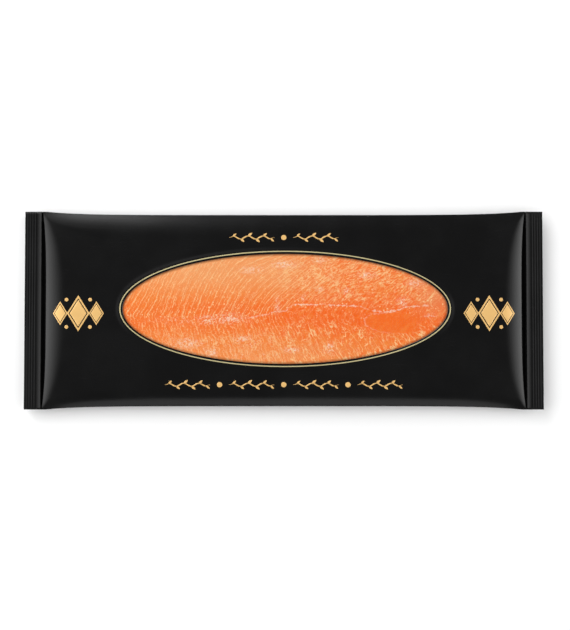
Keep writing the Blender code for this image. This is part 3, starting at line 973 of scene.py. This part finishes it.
def point_object(name, marks, material):
    """Points with size and turn attributes, for marks to be printed on: (place, size, turn) each."""
    obj = empty_object(name, material, [(x, y, 0.0) for (x, y), size, turn in marks])
    sizes = [(w / 2, h / 2, 1.0) for place, (w, h), turn in marks]
    turns = [(0.0, 0.0, turn) for place, size, turn in marks]
    for label, values in (("size", sizes), ("turn", turns)):
        attribute = obj.data.attributes.new(label, "FLOAT_VECTOR", "POINT")
        attribute.data.foreach_set("vector", np.array(values).ravel())
    return obj


def join_pieces(name, pieces):
    """One object from several plain meshes."""
    shape = bmesh.new()
    for piece in pieces:
        shape.from_mesh(piece.data)
    bmesh.ops.dissolve_degenerate(shape, dist=0.000002, edges=shape.edges)
    kept = pieces[0]
    shape.to_mesh(kept.data)
    shape.free()
    for piece in pieces[1:]:
        bpy.data.objects.remove(piece, do_unlink=True)
    kept.name = name
    kept.data.name = name
    return kept


def film_object():
    if "film_wrapper" not in bpy.data.objects:
        raise RuntimeError("the film comes before what is printed on it")
    return bpy.data.objects["film_wrapper"]


class PACK_OT_film(bpy.types.Operator):
    """Build the filled part of the black film tube, with its flanks, folds and window opening"""

    bl_idname = "salmon_pack.film"
    bl_label = "Film"

    def execute(self, context):
        sizes = context.scene.pack_film
        points, faces = film_skin(FilmShape(sizes))
        film = mesh_object("film_wrapper", points, faces, black_film_material(context.scene.pack_colours))
        solidify(film, sizes.thickness, -1.0)
        add_piece(film, "wrapper")
        return {"FINISHED"}


class PACK_OT_seals(bpy.types.Operator):
    """Build the two crimped end seals and the folded back seam"""

    bl_idname = "salmon_pack.seals"
    bl_label = "Seals"

    # How far a seal runs in under the filled part, and how much its film drifts up and down
    TUCK = 2.4 * MM
    WAVE = 0.2 * MM
    # The back seam: short of the filled part's ends, play in its channel, height, film, rib pitch and height
    SEAM_SHORT = 1.5 * MM
    SEAM_PLAY = 0.2 * MM
    SEAM_BASE = 0.05 * MM
    SEAM_FILM = 0.25 * MM
    SEAM_RIBS = (1.2 * MM, 0.03 * MM)

    def execute(self, context):
        s = context.scene.pack_film
        material = film_object().data.materials[0]
        seals = grow(empty_object("end_seals", material), seal_tree(), {
            "Half length": s.length / 2, "Half width": s.seal_width / 2,
            "Level": s.seal_level + s.fold_edge, "Thickness": 2 * s.fold_edge, "Crimp": s.crimp,
            "Rib pitch": s.rib_pitch, "Rib height": s.rib_height, "Strip": s.strip,
            "Strip rise": s.strip_rise, "Crease": s.crease, "Crease depth": s.crease_depth,
            "Tuck": self.TUCK, "Wave": self.WAVE, "Material": material})
        add_piece(seals)
        low, high = FilmShape.SEAM_EDGES
        body = s.length / 2 - s.crimp - s.strip - s.crease
        seam = grow(empty_object("back_seam", material), seam_tree(), {
            "Half length": body - self.SEAM_SHORT, "Low edge": low + self.SEAM_PLAY,
            "High edge": high - self.SEAM_PLAY, "Base": self.SEAM_BASE, "Thickness": self.SEAM_FILM,
            "Rib pitch": self.SEAM_RIBS[0], "Rib height": self.SEAM_RIBS[1], "Material": material})
        add_piece(seam)
        return {"FINISHED"}


class PACK_OT_window(bpy.types.Operator):
    """Build the clear oval film that closes the window"""

    bl_idname = "salmon_pack.window"
    bl_label = "Window"

    THICKNESS = 0.08 * MM
    RIPPLE = 0.05 * MM
    SHARP = math.radians(40)

    def execute(self, context):
        sizes = context.scene.pack_film
        shape = FilmShape(sizes)
        sides, rings = 240, 28
        turn = np.arange(sides) * 2 * math.pi / sides
        shares = np.linspace(1.0, 1.0 / rings, rings)[:, None]
        x = shape.window_centre[0] + shape.window_half[0] * shares * np.cos(turn)
        y = shape.window_centre[1] + shape.window_half[1] * shares * np.sin(turn)
        ripple = self.RIPPLE * waves(x, y, 5, 60 * MM, 16 * MM) * (1 - shares ** 4)
        points = np.stack([x, y, shape.top(x, y) + ripple], axis=-1).reshape(-1, 3)
        centre = np.array([[*shape.window_centre, shape.top(*shape.window_centre)]])
        faces = [(r * sides + i, r * sides + (i + 1) % sides, (r + 1) * sides + (i + 1) % sides,
                  (r + 1) * sides + i) for r in range(rings - 1) for i in range(sides)]
        last = (rings - 1) * sides
        faces += [(last + i, last + (i + 1) % sides, rings * sides) for i in range(sides)]
        pane = mesh_object("window_film", np.concatenate([points, centre]), faces, clear_film_material())
        solidify(pane, self.THICKNESS, -1.0)
        pane.data.set_sharp_from_angle(angle=self.SHARP)
        add_piece(pane, "window")
        return {"FINISHED"}


# The fish's mid line in millimetres: place along the pack, place across it, and how white it shows there
MID_LINE = ((-125, -5.0, 0.0), (-97, -6.0, 0.0), (-60, -6.8, 0.0), (-30, -6.4, 0.1), (-22, -5.2, 0.8),
            (-13, -3.4, 0.6), (-8, -1.6, 0.7), (2, -0.6, 0.7), (5, 3.2, 0.3), (8, 4.0, 1.0), (26, 3.8, 1.0),
            (30, 4.6, 0.2), (36, 3.4, 0.9), (56, 2.9, 0.9), (61, 1.2, 0.1), (66, -0.6, 0.8), (76, -1.6, 1.0),
            (86, -0.2, 1.0), (91, 2.0, 0.8), (107, 3.3, 0.7), (112, 3.0, 0.0), (125, 2.0, 0.0))

# White dabs of fat in millimetres: place along and across the pack, half length, half height
DABS = ((-57, -7.5, 5.0, 2.6), (-41, -6.2, 8.0, 2.8), (-30, -21.5, 5.0, 1.5), (-54, -32, 3.6, 2.4),
        (-5, 3.8, 1.4, 4.6), (15, 9.3, 1.6, 1.6), (27, 15.2, 2.0, 1.8), (47, 13.8, 2.2, 2.0),
        (34, -28.3, 3.4, 3.4), (27, 37.5, 4.2, 1.8), (89, 6.2, 3.6, 2.6), (110, -4.3, 3.4, 1.2),
        (1, 34, 8.0, 2.2), (-24, 30, 7.0, 2.0), (-72, -25, 8.0, 2.4), (6, -30, 6.0, 1.6),
        (62, 26, 6.0, 1.8), (98, 20, 5.0, 2.2))


def mid_line(x):
    """Where the fish's mid line lies across the pack, and how white it shows, by millimetres along."""
    places, heights, whites = zip(*MID_LINE)
    return np.interp(x, places, heights), np.interp(x, places, whites)


def flake_fields(shape, x, y, pitch):
    """The fields that the fish's finish reads, in the order of FISH_FIELDS."""
    rim = -shape.window_reach(x, y) / MM
    x, y = x / MM, y / MM
    middle, white = mid_line(x)
    across = y - middle
    above, below = np.maximum(y + 4.0, 0), np.minimum(y + 4.0, 0)
    bend = 0.0145 * smooth(x, -50, 15) * (1 - smooth(x, 70, 120))
    slant = 0.50 * above + bend * above ** 2
    drift = 0.9 * waves(x, y, 31, 80, 34) + 0.22 * waves(x, y, 32, 12, 7)
    dabs = np.zeros_like(x)
    for place_x, place_y, half_x, half_y in DABS:
        dabs += np.exp(-((x - place_x) / half_x) ** 2 - ((y - place_y) / half_y) ** 2)
    flake = (x - slant + 0.35 * below + drift) / (pitch / MM)
    return dict(zip(FISH_FIELDS, (across, flake, white, np.clip(dabs, 0, 1), rim)))


class PACK_OT_fish(bpy.types.Operator):
    """Build the smoked salmon with its flakes in low relief"""

    bl_idname = "salmon_pack.fish"
    bl_label = "Fish"

    POWER = 2.8
    EDGE = 4.0 * MM
    # Loops of the fish's wall under its rounded edge: share of the outline, height
    WALLS = ((1.0, 4.0 * MM), (0.985, FISH_LOW[2]))

    def execute(self, context):
        sizes = context.scene.pack_fish
        shape = FilmShape(context.scene.pack_film)
        half = (FISH_HIGH - FISH_LOW) / 2
        columns, rows = 400, 150
        v = np.sin(np.linspace(-1, 1, rows) * 1.35) / math.sin(1.35) * 0.9985
        u = np.linspace(-1, 1, columns)
        reach = (1 - np.abs(v) ** self.POWER) ** (1 / self.POWER)
        x = u[None, :] * reach[:, None] * half[0]
        y = np.repeat(v[:, None], columns, axis=1) * half[1]
        fields = flake_fields(shape, x, y, sizes.flake_pitch)
        flakes = np.sin(math.pi * (fields["flake"] % 1.0)) ** 0.6 * smooth(np.abs(fields["across"]), 0.5, 4)
        swell = 0.5 + 0.28 * waves(x, y, 41, 60 * MM, 12 * MM)
        ceiling = shape.top(x, y) - sizes.gap
        outline = (np.abs(x / half[0]) ** self.POWER + np.abs(y / half[1]) ** self.POWER) ** (1 / self.POWER)
        inset = np.clip((1 - outline) * half[1] / self.EDGE, 0, 1)
        rounding = self.EDGE * 0.8 * (1 - np.sqrt(1 - (1 - inset) ** 2))
        z = ceiling - sizes.relief * (1 - 0.6 * flakes) - 0.2 * MM * np.clip(swell, 0, 1) - rounding
        top = np.stack([x, y, z], axis=-1).reshape(-1, 3)
        edge = border(rows, columns)
        faces = [face[::-1] for face in grid_faces(rows, columns)]
        walls, loop = [], edge
        for share, height in self.WALLS:
            start = len(top) + len(walls) * len(edge)
            walls.append(top[edge] * (share, share, 0.0) + (0.0, 0.0, height))
            ring = range(start, start + len(edge))
            faces += band_faces(loop, ring)
            loop = ring
        faces.append(tuple(reversed(loop)))
        material = SalmonFinish(context.scene.pack_colours, sizes.flake_pitch).build()
        points = np.concatenate([top, *walls])
        fish = mesh_object("salmon_side", points, faces, material)
        fields = flake_fields(shape, points[:, 0], points[:, 1], sizes.flake_pitch)
        for name, field in fields.items():
            attribute = fish.data.attributes.new(name, "FLOAT", "POINT")
            attribute.data.foreach_set("value", np.ascontiguousarray(field, dtype=np.float32))
        turn_outwards(fish)
        add_piece(fish, "salmon")
        return {"FINISHED"}


class PACK_OT_ring(bpy.types.Operator):
    """Print the pale gold line round the window"""

    bl_idname = "salmon_pack.ring"
    bl_label = "Window ring"

    def execute(self, context):
        sizes, shape = context.scene.pack_print, FilmShape(context.scene.pack_film)
        film = film_object()
        material = gold_material("ring_gold", context.scene.pack_colours.ring_gold)
        out = sizes.ring_gap + sizes.ring_width / 2
        ring = grow(empty_object("window_ring", material), ring_tree(), {
            "Centre X": float(shape.window_centre[0]), "Centre Y": float(shape.window_centre[1]),
            "Half length": float(shape.window_half[0] + out), "Half width": float(shape.window_half[1] + out),
            "Line width": sizes.ring_width, "Lift": sizes.lift, "Film": film, "Material": material})
        solidify(ring, sizes.lift, 1.0)
        add_piece(ring)
        return {"FINISHED"}


class PACK_OT_marks(bpy.types.Operator):
    """Print the round dots and the lozenge ornaments at both ends"""

    bl_idname = "salmon_pack.marks"
    bl_label = "Dots and lozenges"

    # Shares of the large lozenge: the small ones beside it, a core in its frame and the frame's hole
    SMALL, CORE, FRAME_HOLE = 0.66, 0.74, 0.84
    # Step to a small lozenge in widths of the large one, places of the pearls in its widths and heights
    SIDE_STEP = 0.80
    PEARL_PLACE = (0.52, 0.38)
    # Share of a dot's diameter
    PEARL = 0.7

    def execute(self, context):
        sizes = context.scene.pack_print
        material = gold_material("gold_ink", context.scene.pack_colours.gold)
        tree = mark_tree()
        common = {"Lift": sizes.lift, "Film": film_object(), "Material": material}
        small, core = self.SMALL, self.CORE
        wide, tall = sizes.lozenge_width, sizes.lozenge_height
        cores, frames, pearls = [], [], []
        for end in (-1, 1):
            cx, cy = end * LOZENGE_PLACE[0], LOZENGE_PLACE[1]
            for step, share in ((-1, small), (0, 1.0), (1, small)):
                place = (cx + step * self.SIDE_STEP * wide, cy)
                frames.append((place, (wide * share, tall * share), 0.0))
                cores.append((place, (wide * share * core, tall * share * core), 0.0))
            for sx, sy in ((-1, -1), (-1, 1), (1, -1), (1, 1)):
                place = (cx + sx * self.PEARL_PLACE[0] * wide, cy + sy * self.PEARL_PLACE[1] * tall)
                pearls.append((place, (self.PEARL * sizes.dot, self.PEARL * sizes.dot), 0.0))
        dots = [((x, y), (sizes.dot, sizes.dot), 0.0) for y, count in VINE_ROWS
                for x in row_places(count, sizes.vine_pitch)[1]]
        groups = (("lozenge_cores", cores, 1.0, 0.0), ("lozenge_frames", frames, 1.0, self.FRAME_HOLE),
                  ("pearls", pearls, 2.0, 0.0), ("dots", dots, 2.0, 0.0))
        pieces = []
        for name, marks, power, hole in groups:
            mark = point_object(name, marks, material)
            pieces.append(grow(mark, tree, {**common, "Power": power, "Hole": hole}))
        marks = join_pieces("gold_marks", pieces)
        solidify(marks, sizes.lift, 1.0)
        add_piece(marks)
        return {"FINISHED"}


class PACK_OT_bands(bpy.types.Operator):
    """Print the leafy vines above and below the window"""

    bl_idname = "salmon_pack.bands"
    bl_label = "Vines"

    LEAF_ANGLE = math.radians(40)
    # How far a leaf's middle lies from its root, its outline's power, and how leaves shrink to the ends
    LEAF_ROOT = 0.42
    LEAF_POWER = 1.4
    LEAF_TAPER = 0.6

    def execute(self, context):
        sizes = context.scene.pack_print
        material = bpy.data.materials["gold_ink"]
        film = film_object()
        tree = stem_tree()
        pieces, leaves = [], []
        length = sizes.vine_length
        waves_count = round(length / sizes.wave_pitch)
        for x, y in [(x, y) for y, count in VINE_ROWS for x in row_places(count, sizes.vine_pitch)[0]]:
            pieces.append(grow(empty_object("vine", material), tree, {
                "Centre X": x, "Centre Y": y, "Length": length, "Waves": float(waves_count),
                "Wave height": sizes.wave_height, "Pen": sizes.pen, "Lift": sizes.lift, "Film": film,
                "Material": material}))
            for i in range(2 * waves_count):
                side = 1 - 2 * (i % 2)
                place = (i + 0.5) / (2 * waves_count) - 0.5
                share = 1.0 - self.LEAF_TAPER * abs(place)
                leaf_length, leaf_width = sizes.leaf_length * share, sizes.leaf_width * share
                reach = self.LEAF_ROOT * leaf_length
                leaf_x = x + length * place + reach * math.cos(self.LEAF_ANGLE)
                rise = self.LEAF_ROOT * sizes.wave_height + reach * math.sin(self.LEAF_ANGLE)
                leaves.append(((leaf_x, y + side * rise), (leaf_length, leaf_width), side * self.LEAF_ANGLE))
        pieces.append(grow(point_object("leaves", leaves, material), bpy.data.node_groups["print_marks"], {
            "Lift": sizes.lift, "Film": film, "Material": material, "Power": self.LEAF_POWER, "Hole": 0.0}))
        bands = join_pieces("vine_bands", pieces)
        solidify(bands, sizes.lift, 1.0)
        add_piece(bands)
        return {"FINISHED"}


class PACK_OT_stage(bpy.types.Operator):
    """Set the pale table top, the soft boxes and the camera"""

    bl_idname = "salmon_pack.stage"
    bl_label = "Stage"

    # Soft boxes, each in bands that dim upwards: name, bearing, width, lowest angle, height of a band,
    # bands, brightness at the foot, how fast it falls
    LIGHTS = (("left", 180, 54, 4, 10, 6, 6.0, 1.5), ("right", 0, 54, 4, 10, 6, 6.5, 1.5),
              ("back", 122, 44, 12, 10, 6, 10.0, 2.6), ("front", 272, 64, 20, 12, 2, 1.7, 0.3))
    LIGHT_DISTANCE = 1.6
    CAMERA_DISTANCE = 1.316
    CAMERA_ELEVATION = math.radians(86.8)
    CAMERA_AIM = (0.0009, -0.0035, 0.006)
    CAMERA_LENS = 100.0
    WORLD_STRENGTH = 0.206
    FLOOR_HALF = 3.0

    def execute(self, context):
        half = self.FLOOR_HALF
        corners = [(-half, -half, 0.0), (half, -half, 0.0), (half, half, 0.0), (-half, half, 0.0)]
        floor = mesh_object("floor", corners, [(0, 1, 2, 3)], floor_material(context.scene.pack_colours))
        for name, bearing, width, low, rise, bands, foot, fall in self.LIGHTS:
            for i in range(bands):
                band = (low + i * rise, low + (i + 1) * rise)
                brightness = foot * (1 - i / bands) ** fall
                self.add_light(context, f"{name}_{i}", bearing, band, width, brightness)
        world = bpy.data.worlds.new("studio")
        world.use_nodes = True
        background = world.node_tree.nodes["Background"]
        background.inputs["Color"].default_value = (1.0, 1.0, 1.0, 1.0)
        background.inputs["Strength"].default_value = self.WORLD_STRENGTH
        context.scene.world = world
        context.scene.view_settings.view_transform = "Standard"
        context.scene.view_settings.look = "None"
        self.add_camera(context)
        return {"FINISHED"}

    @staticmethod
    def aim(obj, place, target):
        direction = (Vector(target) - place).normalized()
        turn = direction.to_track_quat("-Z", "Y").to_matrix().to_4x4()
        obj.matrix_world = Matrix.Translation(place) @ turn

    def add_light(self, context, name, bearing, band, width, brightness):
        low, high = band
        bearing, middle = math.radians(bearing), math.radians((low + high) / 2)
        flat = math.cos(middle)
        away = Vector((flat * math.cos(bearing), flat * math.sin(bearing), math.sin(middle)))
        light = bpy.data.lights.new(name, "AREA")
        light.shape = "RECTANGLE"
        light.size = 2 * self.LIGHT_DISTANCE * flat * math.tan(math.radians(width / 2))
        light.size_y = 2 * self.LIGHT_DISTANCE * math.tan(math.radians((high - low) / 2))
        light.energy = brightness * math.pi * light.size * light.size_y
        obj = bpy.data.objects.new(name, light)
        context.collection.objects.link(obj)
        self.aim(obj, away * self.LIGHT_DISTANCE, (0.0, 0.0, 0.0))

    def add_camera(self, context):
        camera = bpy.data.cameras.new("camera")
        camera.lens = self.CAMERA_LENS
        camera.sensor_width = 36.0
        camera.clip_end = 20.0
        obj = bpy.data.objects.new("camera", camera)
        context.collection.objects.link(obj)
        away = Vector((0.0, -math.cos(self.CAMERA_ELEVATION), math.sin(self.CAMERA_ELEVATION)))
        aim = Vector(self.CAMERA_AIM)
        self.aim(obj, aim + away * self.CAMERA_DISTANCE, aim)
        context.scene.camera = obj


class PACK_PT_panel(bpy.types.Panel):
    """Lists the pieces of the pack and their sizes and colours"""

    bl_label = "Salmon Pack"
    bl_idname = "PACK_PT_panel"
    bl_space_type = "VIEW_3D"
    bl_region_type = "UI"
    bl_category = "Salmon Pack"

    def draw(self, context):
        layout = self.layout
        for operator in OPERATORS:
            layout.operator(operator.bl_idname)
        for name in SETTINGS:
            box = layout.box()
            group = getattr(context.scene, name)
            for key in group.bl_rna.properties.keys():
                if key not in ("rna_type", "name"):
                    box.prop(group, key)


SETTINGS = {"pack_film": FilmSizes, "pack_print": PrintSizes, "pack_fish": FishSizes,
            "pack_colours": PackColours}
OPERATORS = (PACK_OT_film, PACK_OT_seals, PACK_OT_window, PACK_OT_fish, PACK_OT_ring, PACK_OT_marks,
             PACK_OT_bands, PACK_OT_stage)


def register():
    for cls in (*SETTINGS.values(), *OPERATORS, PACK_PT_panel):
        bpy.utils.register_class(cls)
    for name, cls in SETTINGS.items():
        setattr(bpy.types.Scene, name, bpy.props.PointerProperty(type=cls))


def unregister():
    for name in SETTINGS:
        delattr(bpy.types.Scene, name)
    for cls in (PACK_PT_panel, *reversed(OPERATORS), *reversed(SETTINGS.values())):
        bpy.utils.unregister_class(cls)


def main():
    register()
    bpy.ops.salmon_pack.film()
    bpy.ops.salmon_pack.seals()
    bpy.ops.salmon_pack.window()
    bpy.ops.salmon_pack.fish()
    bpy.ops.salmon_pack.ring()
    bpy.ops.salmon_pack.marks()
    bpy.ops.salmon_pack.bands()
    bpy.ops.salmon_pack.stage()


if __name__ == "__main__":
    main()
